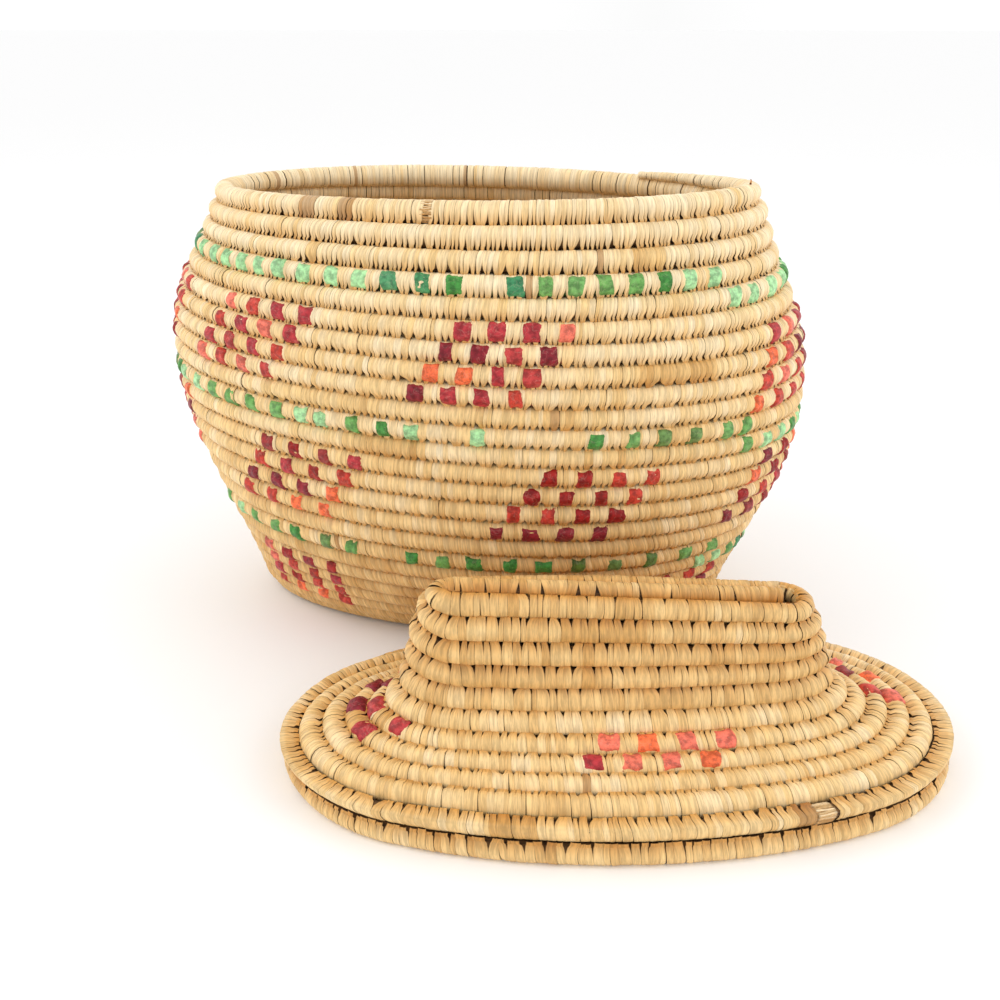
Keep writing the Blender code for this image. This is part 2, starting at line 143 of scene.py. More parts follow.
bpy.context.scene.view_settings.view_transform = "Standard"
add_camera()
add_floor()
add_sky()
add_area_light("left_light", (-1.00, -0.35, 1.10), 4.0)
add_area_light("right_light", (1.10, -0.25, 1.00), 3.0)
print("camera, floor and lights are in place")

# %% [markdown]
# ## The spiral
#
# A row is half a turn round the left end and half a turn round the right end. The half turns start as
# straight sides with round ends and become ovals a few rows out. How far along the outline of the wall
# a turn lies sets its half length, half depth and height. A turn number is whole in the middle of the
# front, so that turn 29 is the rim.

# %% Outline and spiral
BASKET_HEIGHT = 0.2195
FOOT_LENGTH = 0.2495
FOOT_DEPTH = 0.1075
BELLY_LENGTH = 0.3095
BELLY_DEPTH = 0.1975
MOUTH_LENGTH = 0.2555
MOUTH_DEPTH = 0.1485
# Corners of the wall's outline, which is rounded inside them: share of the height, then how far the length
# and the depth have swelled towards the belly's, from the foot's below and from the mouth's above
LOWER_WALL = ((0.0, 0.0, 0.0), (0.103, 0.11, 0.39), (0.294, 0.54, 0.76), (0.499, 1.06, 0.90))
UPPER_WALL = ((0.709, 1.09, 1.07), (0.885, 0.39, 0.75), (1.0, 0.0, 0.0))
BASE_ROWS = 5
WALL_ROWS = 24
# Bundle thickness as a share, at the row counted from the middle of the base
BASKET_THICKNESS = (
    (0.0, 1.12), (4.4, 1.12), (5.2, 0.86), (8.5, 0.94), (11.5, 1.10), (14.5, 1.14),
    (17.5, 1.06), (20.5, 1.01), (26.8, 1.02), (28.2, 1.12), (29.0, 1.15),
)
# How far the rows drop towards the right half way up, as a slope, and the rim's height against a row's
ROW_DROOP = 0.048
RIM_THICKNESS = 1.15
RIM_END = 29.40
RIM_TAPER_TURNS = 0.20

# Lid: outside sizes, its knob's, the levels of the middle of its flat rows and of its lip, and how far the
# lip's middle line lies further in
LID_HEIGHT = 0.0785
LID_LENGTH = 0.2910
LID_DEPTH = 0.1500
KNOB_LENGTH = 0.1755
KNOB_DEPTH = 0.0430
FLAT_LEVEL = 0.0130
LIP_LEVEL = 0.0040
LIP_INSET = 0.0027
# Corners of the knob's outline: share of its half depth, share of its height over the flat rows, tilt
KNOB_OUTLINE = (
    (0.00, 1.00, 0.052),
    (0.61, 0.99, 0.052),
    (0.79, 0.83, 0.038),
    (0.94, 0.61, 0.016),
    (1.00, 0.41, 0.0),
)
# Corners from the knob to the edge: share of the way in length and in depth, share of the knob's height
LID_OUTLINE = (
    (0.12, 0.072, 0.289),
    (0.30, 0.268, 0.162),
    (0.60, 0.521, 0.079),
    (0.82, 0.764, 0.038),
    (1.00, 0.990, 0.016),
)
LID_ROWS = 12
LID_THICKNESS = ((0, 1.0), (10.1, 1.0), (10.4, 1.12), (11.5, 1.12), (11.8, 0.90), (12.5, 0.90))
LID_END = 12.62
LID_STEP_SHARE = 0.7
KNOB_SHIFT = 0.004
# Where the lid stands: right of the basket's middle, and as near to it as the clear space allows
LID_PLACE = (0.0765, -0.1287)
LID_TURN = math.radians(9.7)
FREE_END = 0.375
FLAT_CUT = 0.1
# How far the half turns become ovals, and the rows between which they do
BASKET_OVAL = 1.0
LID_OVAL = 0.62
OVAL_FROM_ROW = 1.0
OVAL_BY_ROW = 4.0
# By this row the wall climbs at its full rate, and the first half turn starts this far behind its end
CLIMB_BY_ROW = 4.0
FIRST_STEP = 0.01
# A wall's row is a little thicker than its share of the height; a row reaches out no more than this, times
# its thickness share
ROW_SWELL = 1.08
MOST_HALF_OUT = 0.0051
STEPS_PER_ROW = 50
STEPS_PER_TURN = 96
SMALL_TURN = 0.003


def rounded_outline(corners, rounds=4):
    """The corners cut again and again, a quarter of the way along each side: a smooth line inside them."""
    line = np.array(corners, float)
    for _ in range(rounds):
        near = 0.75 * line[:-1] + 0.25 * line[1:]
        far = 0.25 * line[:-1] + 0.75 * line[1:]
        inner = np.stack([near, far], axis=1).reshape(-1, line.shape[1])
        line = np.vstack([line[:1], inner, line[-1:]])
    return line


def smooth(value, low, high):
    """0 below low, 1 above high, and an S between them."""
    share = np.clip((value - low) / (high - low), 0.0, 1.0)
    return share * share * (3 - 2 * share)


def make_spiral(outline, rows, end, thickness, oval, climb, step_share, outside):
    """The outline with the distance along it, and how far along it each row lies."""
    line = rounded_outline(outline)
    front = np.diff(line[:, 1])
    ends = np.diff(line[:, 0] + line[:, 1])
    rise = np.diff(line[:, 2])
    arcs = np.concatenate([[0.0], np.cumsum(0.5 * (np.hypot(front, rise) + np.hypot(ends, rise)))])
    row_axis = np.linspace(0.0, rows, STEPS_PER_ROW * rows + 1)
    thickness = np.array(thickness, float)
    share = np.interp(row_axis, thickness[:, 0], thickness[:, 1])
    grown = np.concatenate([[0.0], np.cumsum(0.5 * (share[1:] + share[:-1]))])
    grown *= arcs[-1] / grown[-1]
    return {
        "line": line, "arcs": arcs, "row_axis": row_axis, "grown": grown, "rows": rows, "end": end,
        "thickness": thickness, "oval": oval, "climb": climb, "step_share": step_share, "outside": outside,
    }


def arc_of_row(spiral, row):
    """How far along the outline a row lies; past the last one it goes on at the last row's rate."""
    past = np.maximum(row - spiral["rows"], 0.0)
    rate = spiral["grown"][-1] - spiral["grown"][-1 - STEPS_PER_ROW]
    return np.interp(row, spiral["row_axis"], spiral["grown"]) + past * rate


def outline_at(spiral, arc):
    """Reach, depth, height, shift and slope that far along the outline, carried on straight past its end."""
    line, arcs = spiral["line"], spiral["arcs"]
    values = np.stack([np.interp(arc, arcs, line[:, column]) for column in range(5)], -1)
    if spiral["climb"]:
        past = np.maximum(arc - arcs[-1], 0.0)
        slope = line[-1] - line[-2]
        values = values + past[:, None] * slope / math.hypot(slope[1], slope[2])
    return values


def half_row(spiral, index):
    """Arc, Y and depth of a half row: odd ones lie in front of the middle, even ones behind it."""
    index = np.maximum(index, 0)
    odd = index % 2 == 1
    ahead = spiral["climb"] * np.minimum(1.0, index / (2 * CLIMB_BY_ROW))
    arc = arc_of_row(spiral, np.where(odd, index + 1.0, index + ahead) / 2)
    values = outline_at(spiral, arc)
    return arc, values[:, 3] + np.where(odd, -values[:, 1], values[:, 1]), values[:, 1]


def spiral_point(spiral, turns):
    """Where the bundle's middle line is at each turn number."""
    turns = np.asarray(turns, float)
    place = 2 * turns - 1
    index = np.floor(place).astype(int)
    share = place - index
    arc, y_from, depth = half_row(spiral, index)
    arc_to, y_to, depth_to = half_row(spiral, index + 1)
    y_from = np.where(index < 0, y_to + FIRST_STEP, y_from)
    step = np.minimum(1.0, share / spiral["step_share"])
    reach, _, height, _, slope = outline_at(spiral, arc + (arc_to - arc) * step).T
    half = np.abs(y_from - y_to) / 2
    end = half + (1 - spiral["climb"]) * np.abs(depth_to - depth) / 2
    swing = math.pi * np.clip(2 * share - 0.5, 0.0, 1.0)
    straight = np.clip(np.minimum(4 * share, 4 * (1 - share)), 0.0, 1.0)
    blend = spiral["oval"] * smooth(turns, OVAL_FROM_ROW, OVAL_BY_ROW)
    out = (1 - blend) * (reach * straight + end * np.sin(swing))
    out += blend * (reach + end) * np.sin(math.pi * share)
    across = (1 - blend) * np.cos(swing) + blend * np.cos(math.pi * share)
    x = np.where(index % 2 == 1, out, -out)
    y = (y_from + y_to) / 2 + (y_from - y_to) / 2 * across
    return np.stack([x, y, height - slope * x], -1)


def unit(vectors):
    return vectors / np.linalg.norm(vectors, axis=-1, keepdims=True)


def row_frames(spiral, turns):
    """At each turn number: the middle line, the ways along, to the next row, from the last one and out, and
    the row's half sizes up, down and out."""
    turns = np.asarray(turns, float)
    centre = spiral_point(spiral, turns)
    low = np.maximum(turns - SMALL_TURN, FREE_END)
    along = unit(spiral_point(spiral, low + 2 * SMALL_TURN) - spiral_point(spiral, low))
    above = spiral_point(spiral, turns + 1)
    below = spiral_point(spiral, np.maximum(turns - 1, FREE_END))
    last = turns + 1 > spiral["end"]
    first = turns - 1 < FREE_END
    above = np.where(last[:, None], 2 * centre - below, above)
    below = np.where(first[:, None], 2 * centre - above, below)

    def square(v):
        return v - (v * along).sum(-1, keepdims=True) * along

    to_next, from_last = square(above - centre), square(centre - below)
    out = np.cross(along, unit(square(above - below))) * spiral["outside"]
    half_up = 0.5 * np.linalg.norm(to_next, axis=-1)
    half_down = 0.5 * np.linalg.norm(from_last, axis=-1)
    share = np.interp(turns, spiral["thickness"][:, 0], spiral["thickness"][:, 1])
    half_out = np.minimum(np.minimum(half_up, half_down), MOST_HALF_OUT) * np.maximum(share, 1.0)
    return centre, along, unit(to_next), unit(from_last), out, half_up, half_down, half_out


def off_row(frames, offset_out, offset_up):
    """Points off the middle line: out from it, and up towards the next row or down towards the last."""
    centre, _, to_next, from_last, out = [
        v.reshape(v.shape[:1] + (1,) * (offset_out.ndim - 1) + (3,)) for v in frames[:5]
    ]
    up = np.where(offset_up[..., None] > 0, to_next, from_last)
    return centre + out * offset_out[..., None] + up * offset_up[..., None]


def basket_outline():
    """Corners of the outline: how far the straight part reaches, half depth, height, shift and slope."""
    radius = BASKET_HEIGHT / (WALL_ROWS + 1) / 2 * ROW_SWELL
    low = (1 - 2 * FLAT_CUT) * radius
    rise = BASKET_HEIGHT - RIM_THICKNESS * radius - low
    rows = []
    walls = ((LOWER_WALL, FOOT_LENGTH, FOOT_DEPTH), (UPPER_WALL, MOUTH_LENGTH, MOUTH_DEPTH))
    for wall, length, depth in walls:
        for height, longer, deeper in wall:
            half_length = (length + longer * (BELLY_LENGTH - length)) / 2 - radius
            half_depth = (depth + deeper * (BELLY_DEPTH - depth)) / 2 - radius
            slope = ROW_DROOP * 4 * height * (1 - height)
            rows.append((half_length - half_depth, half_depth, low + height * rise, 0.0, slope))
    reach, depth, level, _, _ = rows[0]
    return [(reach, 0.0, level, 0.0, 0.0), (reach, depth - depth / BASE_ROWS, level, 0.0, 0.0)] + rows


def lid_outline():
    """The same five values at the corners of the lid's outline, from the middle of the knob to the lip."""
    radius = (LID_DEPTH - KNOB_DEPTH) / 2 / (LID_ROWS - 1)
    knob_length, knob_depth = KNOB_LENGTH / 2 - radius, KNOB_DEPTH / 2 - radius
    length, depth = LID_LENGTH / 2 - radius, LID_DEPTH / 2 - radius
    knob_height = LID_HEIGHT - radius - FLAT_LEVEL
    outline = []
    for wide, high, tilt in KNOB_OUTLINE:
        shift = KNOB_SHIFT * min(1.0, 2 * (1 - wide) + 0.5)
        reach = knob_length - knob_depth + KNOB_SHIFT - shift
        outline.append((reach, wide * knob_depth, FLAT_LEVEL + high * knob_height, shift, tilt))
    for longer, deeper, high in LID_OUTLINE:
        half_length = knob_length + longer * (length - knob_length)
        half_depth = knob_depth + deeper * (depth - knob_depth)
        outline.append((half_length - half_depth, half_depth, FLAT_LEVEL + high * knob_height, 0.0, 0.0))
    outline.append((length - depth, depth - LIP_INSET, LIP_LEVEL, 0.0, 0.0))
    return outline


basket = make_spiral(basket_outline(), BASE_ROWS + WALL_ROWS, RIM_END, BASKET_THICKNESS, BASKET_OVAL,
                     1.0, 1.0, 1)
lid = make_spiral(lid_outline(), LID_ROWS, LID_END, LID_THICKNESS, LID_OVAL, 0.0, LID_STEP_SHARE, -1)


def to_place(spiral, points):
    """The lid is wound about its own middle and then turned and moved to where it stands."""
    if spiral is basket:
        return points
    c, s = math.cos(LID_TURN), math.sin(LID_TURN)
    turn = np.array([[c, -s, 0.0], [s, c, 0.0], [0.0, 0.0, 1.0]])
    return points @ turn.T + np.array([*LID_PLACE, 0.0])


def length_along(spiral, start, end):
    """Turn numbers close together, and the length of bundle wound up to each."""
    turns = np.linspace(start, end, int((end - start) * STEPS_PER_TURN) + 2)
    steps = np.linalg.norm(np.diff(spiral_point(spiral, turns), axis=0), axis=1)
    return turns, np.concatenate([[0.0], np.cumsum(steps)])


for spiral_name, spiral in (("basket", basket), ("lid", lid)):
    wound = length_along(spiral, FREE_END, spiral["end"])[1][-1]
    print(f"{spiral_name}: {spiral['end'] - FREE_END:.1f} turns, {wound:.2f} m of bundle")

# %% [markdown]
# ## Meshes from grids
#
# Everything below is a grid of points. One helper takes grids of the same size, one for each strand or
# patch, and makes a single mesh from them, with a place across and along every grid as its UV map and
# a colour for every grid.

# %% Mesh helper
def grid_mesh(name, grids, colours, material, spiral, closed=False, flip=False):
    """One mesh from an array of grids (count, rows, columns, 3), which rides on its spiral's body. closed
    joins each grid's last row to its first."""
    count, rows, columns, _ = grids.shape
    row_ids = np.arange(rows if closed else rows - 1)
    column_ids = np.arange(columns - 1)
    base = (np.arange(count) * rows * columns)[:, None, None]
    here = base + (row_ids * columns)[None, :, None] + column_ids[None, None, :]
    there = base + (((row_ids + 1) % rows) * columns)[None, :, None] + column_ids[None, None, :]
    quads = np.stack([here, here + 1, there + 1, there], -1).reshape(-1, 4)
    if flip:
        quads = quads[:, ::-1]
    mesh = bpy.data.meshes.new(name)
    mesh.vertices.add(count * rows * columns)
    mesh.vertices.foreach_set("co", to_place(spiral, grids.reshape(-1, 3)).astype(np.float32).ravel())
    mesh.loops.add(quads.size)
    mesh.loops.foreach_set("vertex_index", quads.astype(np.int32).ravel())
    mesh.polygons.add(len(quads))
    mesh.polygons.foreach_set("loop_start", np.arange(0, quads.size, 4, dtype=np.int32))
    mesh.polygons.foreach_set("use_smooth", np.ones(len(quads), bool))
    mesh.update(calc_edges=True)
    across = np.linspace(0, 1, columns)
    along = np.linspace(0, 1, rows)
    place = np.stack(np.broadcast_arrays(across[None, :], along[:, None]), -1)
    place = np.broadcast_to(place, (count, rows, columns, 2)).reshape(-1, 2)
    uv = mesh.uv_layers.new(name="place")
    uv.data.foreach_set("uv", place[quads.ravel()].astype(np.float32).ravel())
    tint = mesh.color_attributes.new("tint", "FLOAT_COLOR", "POINT")
    each = np.broadcast_to(colours[:, None, :], (count, rows * columns, 4)).reshape(-1, 4)
    tint.data.foreach_set("color", each.astype(np.float32).ravel())
    mesh.materials.append(material)
    piece = bpy.data.objects.new(name, mesh)
    bpy.context.scene.collection.objects.link(piece)
    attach(piece, "basket" if spiral is basket else "lid")
    print(f"{name}: {count} grids, {len(quads) * 2} triangles")
    return piece


# %% [markdown]
# ## Dry grass
#
# A split stem is pale where its skin is whole and golden to brown where it is worn or bruised. It shines
# a little, and fine lines run along it. Each strand carries its own colour, and the material adds the
# lines and painted shade: it darkens the strand's edges, where they dip into the grooves between strands,
# and turns its low end golden brown, where it goes into the shade of the row beneath. The bundle inside
# is coloured dark as painted shade, because little light gets to it.

# %% Grass materials
# Painted shade: a strand's low end, where it goes under the row beneath, is multiplied by this golden brown
LOW_END_SHADE_TINT = (0.80, 0.60, 0.36, 1.0)


def node_material(name):
    material = bpy.data.materials.new(name)
    material.use_nodes = True
    nodes = material.node_tree.nodes
    return material, nodes, material.node_tree.links, nodes["Principled BSDF"]


def step_node(nodes, links, value, low, high, at_low, at_high):
    """at_low below low, at_high above high, and an S between them."""
    node = new_node(nodes, "ShaderNodeMapRange", interpolation_type="SMOOTHSTEP")
    for name, number in (("From Min", low), ("From Max", high), ("To Min", at_low), ("To Max", at_high)):
        node.inputs[name].default_value = number
    links.new(value, node.inputs["Value"])
    return node.outputs[0]


def grass_material(name, roughness, line_strength, edge_shade):
    """The strand's own colour, times fine lines along it, with painted shade: darker edges, and a low end
    made warmer where it goes under the row beneath.
    """
    material, nodes, links, shader = node_material(name)
    shader.inputs["Roughness"].default_value = roughness
    shader.inputs["Specular IOR Level"].default_value = 0.40
    tint = new_node(nodes, "ShaderNodeAttribute", attribute_name="tint")
    place = new_node(nodes, "ShaderNodeUVMap", uv_map="place")
    split = new_node(nodes, "ShaderNodeSeparateXYZ")
    links.new(place.outputs["UV"], split.inputs[0])
    seed = math_node(nodes, links, "MULTIPLY", tint.outputs["Alpha"], 97.0)
    join = new_node(nodes, "ShaderNodeCombineXYZ")
    links.new(math_node(nodes, links, "MULTIPLY_ADD", split.outputs["X"], 3.0, seed), join.inputs["X"])
    links.new(math_node(nodes, links, "MULTIPLY", split.outputs["Y"], 1.6), join.inputs["Y"])
    links.new(seed, join.inputs["Z"])
    lines = new_node(nodes, "ShaderNodeTexNoise", Scale=1.8, Detail=3.0, Roughness=0.65)
    links.new(join.outputs[0], lines.inputs["Vector"])
    least, most = 1.0 - line_strength, 1.0 + line_strength
    streak = step_node(nodes, links, lines.outputs["Fac"], 0.34, 0.66, least, most)
    side = math_node(nodes, links, "ABSOLUTE", math_node(nodes, links, "SUBTRACT", split.outputs["X"], 0.5))
    # Painted shade: the strand's edges are darkened, where they dip into the grooves between strands
    rim = step_node(nodes, links, side, 0.38, 0.50, 1.0, 1.0 - edge_shade)
    shade = math_node(nodes, links, "MULTIPLY", streak, rim)
    # Painted shade: the low end turns golden brown, where it lies in the shade of the row beneath
    low = step_node(nodes, links, split.outputs["Y"], 0.06, 0.36, 1.0, 0.0)
    low_end_shade = new_node(nodes, "ShaderNodeMix", data_type="RGBA", blend_type="MULTIPLY")
    low_end_shade.inputs["B"].default_value = LOW_END_SHADE_TINT
    links.new(low, low_end_shade.inputs["Factor"])
    links.new(tint.outputs["Color"], low_end_shade.inputs["A"])
    deepen = new_node(nodes, "ShaderNodeVectorMath", operation="SCALE")
    links.new(low_end_shade.outputs["Result"], deepen.inputs[0])
    links.new(shade, deepen.inputs["Scale"])
    links.new(deepen.outputs[0], shader.inputs["Base Color"])
    bump = new_node(nodes, "ShaderNodeBump", Strength=0.30, Distance=0.0002)
    links.new(lines.outputs["Fac"], bump.inputs["Height"])
    links.new(bump.outputs[0], shader.inputs["Normal"])
    return material


def bundle_material(name, light, dark):
    """Stems lying side by side: lines along the bundle, with dark between them; both colours are dark, as
    painted shade.
    """
    material, nodes, links, shader = node_material(name)
    shader.inputs["Roughness"].default_value = 0.75
    place = new_node(nodes, "ShaderNodeUVMap", uv_map="place")
    stretch = new_node(nodes, "ShaderNodeMapping")
    stretch.inputs["Scale"].default_value = (26.0, 400.0, 1.0)
    links.new(place.outputs["UV"], stretch.inputs["Vector"])
    stems = new_node(nodes, "ShaderNodeTexNoise", Scale=1.0, Detail=2.0)
    links.new(stretch.outputs[0], stems.inputs["Vector"])
    ramp = new_node(nodes, "ShaderNodeValToRGB")
    ramp.color_ramp.elements[0].position = 0.35
    ramp.color_ramp.elements[0].color = (*dark, 1.0)
    ramp.color_ramp.elements[1].position = 0.65
    ramp.color_ramp.elements[1].color = (*light, 1.0)
    links.new(stems.outputs["Fac"], ramp.inputs["Fac"])
    links.new(ramp.outputs["Color"], shader.inputs["Base Color"])
    return material


# The last number of each is how much painted shade darkens a strand's edges
wall_grass = grass_material("wall_grass", 0.50, 0.20, 0.38)
lid_grass = grass_material("lid_grass", 0.46, 0.20, 0.34)
# Painted shade: the bundle is coloured dark brown, because little light gets in between the stitches
painted_shade_bundle = bundle_material("painted_shade_bundle", (0.20, 0.10, 0.032), (0.045, 0.020, 0.007))
print("materials: grass for the wall and the lid, and the bundle inside")

# %% [markdown]
# ## The bundle
#
# Under the stitches the bundle is a thick cord. It shows only as dark between strands, so a plain tube
# is enough: an egg-shaped section carried along the spiral, slightly thinner than the row. Its dark
# colour is painted shade.

# %% Bundles
BUNDLE_SIDES = 12
BUNDLE_STEPS = 80
STRAND_DEPTH = 0.00080
# How much thinner the two bundles' ends become, as a share, and over how many turns the lid's does
RIM_TAPER, LID_TAPER = 0.70, 0.55
LID_TAPER_TURNS = 0.10


def end_taper(spiral, turns):
    """How thick the bundle still is, as a share, where its last stretch thins out."""
    if not spiral["climb"]:
        return 1.0 - LID_TAPER * smooth(turns, spiral["end"] - LID_TAPER_TURNS, spiral["end"])
    return 1.0 - RIM_TAPER * np.clip((turns - spiral["end"] + RIM_TAPER_TURNS) / RIM_TAPER_TURNS, 0.0, 1.0)


def section(frames, angle, lift):
    """Offsets out and up on a row's section at an angle from straight out, lift above its surface."""
    half_up, half_down, half_out = frames[5:]
    c, s = np.cos(angle), np.sin(angle)
    half = np.where(s > 0, half_up[:, None], half_down[:, None])
    return c * (half_out[:, None] + lift), s * (half + lift)


def add_bundle(name, spiral):
    """A tube just inside the stitches, its section carried along the whole spiral."""
    turns = np.linspace(FREE_END, spiral["end"], int((spiral["end"] - FREE_END) * BUNDLE_STEPS))
    frames = row_frames(spiral, turns)
    taper = end_taper(spiral, turns)
    angle = np.linspace(0, 2 * math.pi, BUNDLE_SIDES + 1)[None, :]
    offset_out, offset_up = section(frames, np.broadcast_to(angle, (len(turns), angle.size)), -STRAND_DEPTH)
    offset_up = offset_up * taper[:, None] - (frames[6] * (1 - taper))[:, None]
    grid = off_row(frames, offset_out * taper[:, None], offset_up)
    grid[:, -1] = grid[:, 0]
    grid_mesh(name, grid[None], np.ones((1, 4)), painted_shade_bundle, spiral, flip=spiral["outside"] > 0)


add_bundle("basket_bundle", basket)
add_bundle("lid_bundle", lid)

# %% [markdown]
# ## The stitches
#
# A stitch comes out of the row beneath, goes up over the outside of its own row, over the top and down
# the inside. It is a flat strand, full width on top of the row and pinched to a rounded point where it
# goes into the row beneath. Neighbours often share a hole, so their points lean together in pairs and
# leave a dark wedge beside them. Two numbers make the surface: one goes across the strand, the other
# along it. In two places strands are missing and the stems of the bundle lie bare.

# %% Stitches
ACROSS = np.array([-1.0, -0.74, 0.0, 0.74, 1.0])
CROWN = np.array([-0.00020, 0.00003, 0.00008, 0.00003, -0.00020])
# Angle from straight out, in degrees, of the places along a stitch that lie on its own row
ROUND_ROW = np.array([-58.0, -32.0, -6.0, 20.0, 46.0, 72.0, 98.0, 140.0, 180.0, 222.0, 262.0])
# Width along a stitch, as a share, at its two places in the row beneath and then round the row
WIDTH = np.array([0.40, 0.54, 0.76, 0.96, 1.08, 1.13, 1.15, 1.15, 1.12, 1.08, 1.06, 1.06, 1.0])
# Those two places, as shares of the row's half sizes out and down, and the strand's way out and up there
TIP_OUT = (0.40, 0.58)
TIP_DOWN = (1.22, 1.06)
TIP_WAY_OUT = (0.75, 0.66)
TIP_WAY_UP = (0.66, 0.30)
# In the knob's first turns nothing lies beneath, so the strand is wrapped round from these angles
WRAPPED_FROM = np.radians([-112.0, -84.0])
# A full turn for the phases of waves
ROUND = 6.28
GOLD = np.array([0.65, 0.370, 0.118])
STRAW = np.array([0.85, 0.580, 0.252])
CREAM = np.array([0.94, 0.765, 0.490])
BRUISE = np.array([0.62, 0.50, 0.40])


def by_turn(value, turns):
    """A number for each turn: the same for all, or from pairs of turn and number."""
    if np.ndim(value) == 0:
        return np.full(len(turns), float(value))
    return np.interp(turns, *np.array(value).T)


def wave_noise(rng, turns, scales):
    """Slow wandering values along the rows: a sum of sines with chance phases."""
    total = np.zeros(len(turns))
    for scale in scales:
        total += np.sin(turns * scale + rng.random() * ROUND)
    return total / len(scales)


def strand_places(rng, spiral, start, end, look):
    """Turn numbers and widths of the stitches from start to end, one beside the other."""
    turns, lengths = length_along(spiral, start, end)
    usual = by_turn(look["width"], turns)
    number = np.concatenate([[0.0], np.cumsum(np.diff(lengths) * 2 / (usual[1:] + usual[:-1]))])
    shares = np.clip(rng.normal(1.0, look["spread"], int(number[-1]) + 1), 0.55, 1.8)
    shares *= number[-1] / shares.sum()
    at = np.interp(np.cumsum(shares) - shares / 2, number, turns)
    return at, shares * by_turn(look["width"], at)


def stitch_grids(rng, spiral, turns, widths, look):
    """Grids of points for stitches: along is lower tip to inner side, across is the strand's width.

    Each place along has an offset out and up from the row's middle line. Across, a point moves along the row
    by its share of the half width there, and off the surface by the strand's crown, lift and roll. The width
    narrows to the tip, which is shifted along the row by its pair and by chance, and the strand leans.
    """
    frames = row_frames(spiral, turns)
    along, half_down, half_out = frames[1], frames[6], frames[7]
    count = len(turns)
    taper = end_taper(spiral, turns)
    angle = np.radians(ROUND_ROW)[None, :] + np.zeros((count, 1))
    row_out, row_up = section(frames, angle, 0.0)
    tip_out = half_out[:, None] * TIP_OUT
    depth = 1.0 + rng.normal(0, 0.04, count)
    tip_up = (half_down * depth)[:, None] * np.negative(TIP_DOWN)
    wrapped = (turns < look.get("wrapped_to", 0.0))[:, None]
    tip_out = np.where(wrapped, half_out[:, None] * np.cos(WRAPPED_FROM), tip_out)
    tip_up = np.where(wrapped, half_down[:, None] * np.sin(WRAPPED_FROM), tip_up)
    place_out = np.hstack([tip_out, row_out]) * taper[:, None]
    place_up = np.hstack([tip_up, row_up]) * taper[:, None] - (half_down * (1 - taper))[:, None]
    way_out = np.hstack([np.tile(TIP_WAY_OUT, (count, 1)), np.cos(angle)])
    way_up = np.hstack([np.tile(TIP_WAY_UP, (count, 1)), np.sin(angle)])
    steps = len(WIDTH)
    up_share = np.clip(np.linspace(0, 1, steps) * steps / 7.0, 0, 1)
    uneven = np.clip(rng.normal(1.0, 0.26, count), 0.2, 1.4)
    narrowing = by_turn(look["gap"], turns) * uneven * (1 - wrapped[:, 0])
    share = 1 - (1 - WIDTH)[None, :] * narrowing[:, None]
    pair = np.where(np.arange(count) % 2 == 0, 1.0, -1.0) * (rng.random(count) < 0.75)
    tip_shift = (pair * look["pinch"] + rng.normal(0, 0.18, count)) * widths
    slant = by_turn(look["lean"], turns) + 0.0006 * wave_noise(rng, turns, (40.0, 97.0))
    slant = slant + 0.0002 * rng.normal(0, 1, count)
    shift = tip_shift[:, None] * (1 - smooth(up_share, 0.0, 0.55))[None, :]
    shift = shift + slant[:, None] * (up_share ** 2 + 0.22 * (1 - up_share) ** 2)[None, :]
    lift = rng.normal(0.0, 0.00007, count)
    roll = rng.normal(0.0, 0.00007, count)
    apart = np.linalg.norm(np.gradient(off_row(frames, place_out, place_up), axis=0), axis=2)
    apart = apart / np.linalg.norm(np.gradient(frames[0], axis=0), axis=1)[:, None]
    across = ACROSS[None, None, :] * (widths[:, None] * share * np.clip(apart, 0.6, 1.8))[:, :, None] / 2
    height = CROWN[None, None, :] + lift[:, None, None] + (roll[:, None] * ACROSS[None, :])[:, None, :]
    height = height * np.ones((1, steps, 1))
    grid = off_row(frames, place_out[:, :, None] + height * way_out[:, :, None],
                   place_up[:, :, None] + height * way_up[:, :, None])
    return grid + along[:, None, None, :] * (shift[:, :, None] + across)[..., None]


def straw_colours(rng, turns, look):
    """Cream, straw and gold, drifting slowly along the rows, with a bruised strand now and then."""
    count = len(turns)
    tone = by_turn(look["pale"], turns) + 0.11 * rng.normal(0, 1, count)
    tone = tone + 0.22 * wave_noise(rng, turns, (9.0, 23.0, 61.0, 131.0))
    for middle, half in look.get("dark_spans", ()):
        tone = tone - 0.45 * (np.abs(turns - middle) < half)
    tone = np.clip(tone, 0, 1)[:, None]
    low, high = GOLD + (STRAW - GOLD) * tone * 2, STRAW + (CREAM - STRAW) * (tone * 2 - 1)
    colour = np.where(tone < 0.5, low, high)
    brown = rng.random(count) < look["bruised"]
    for middle, half in look.get("brown_spans", ()):
        brown |= np.abs(turns - middle) < half
    colour = np.where(brown[:, None], colour * BRUISE, colour)
    return np.hstack([colour, rng.random((count, 1))])


def add_stitches(name, spiral, slot, start, end, look, material, nodes, seed):
    """The stitches from one turn number to another, but for those where the stems lie bare."""
    rng = np.random.default_rng(seed)
    turns, widths = strand_places(rng, spiral, start, end, look)
    grids = stitch_grids(rng, spiral, turns, widths, look)
    colours = straw_colours(rng, turns, look)
    kept = np.ones(len(turns), bool)
    for middle, half in look.get("bare", ()):
        kept &= np.abs(turns - middle) > half
    outward = spiral["outside"] > 0
    piece = grid_mesh(name, grids[kept], colours[kept], material, spiral, flip=outward)
    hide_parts(*nodes)


# %% Stitches of the basket
WALL_NODES = ("foot_coil", "lower_wall_coil", "middle_wall_coil", "belly_coil", "shoulder_coil",
              "neck_coil")
WALL_CUTS = (4.53, 9.53, 14.03, 18.53, 22.53, 25.53, 28.47)
BASE_LOOK = {"width": 0.0024, "spread": 0.18, "lean": 0.0006, "pinch": 0.22, "gap": 0.8, "pale": 0.50,
             "bruised": 0.01}
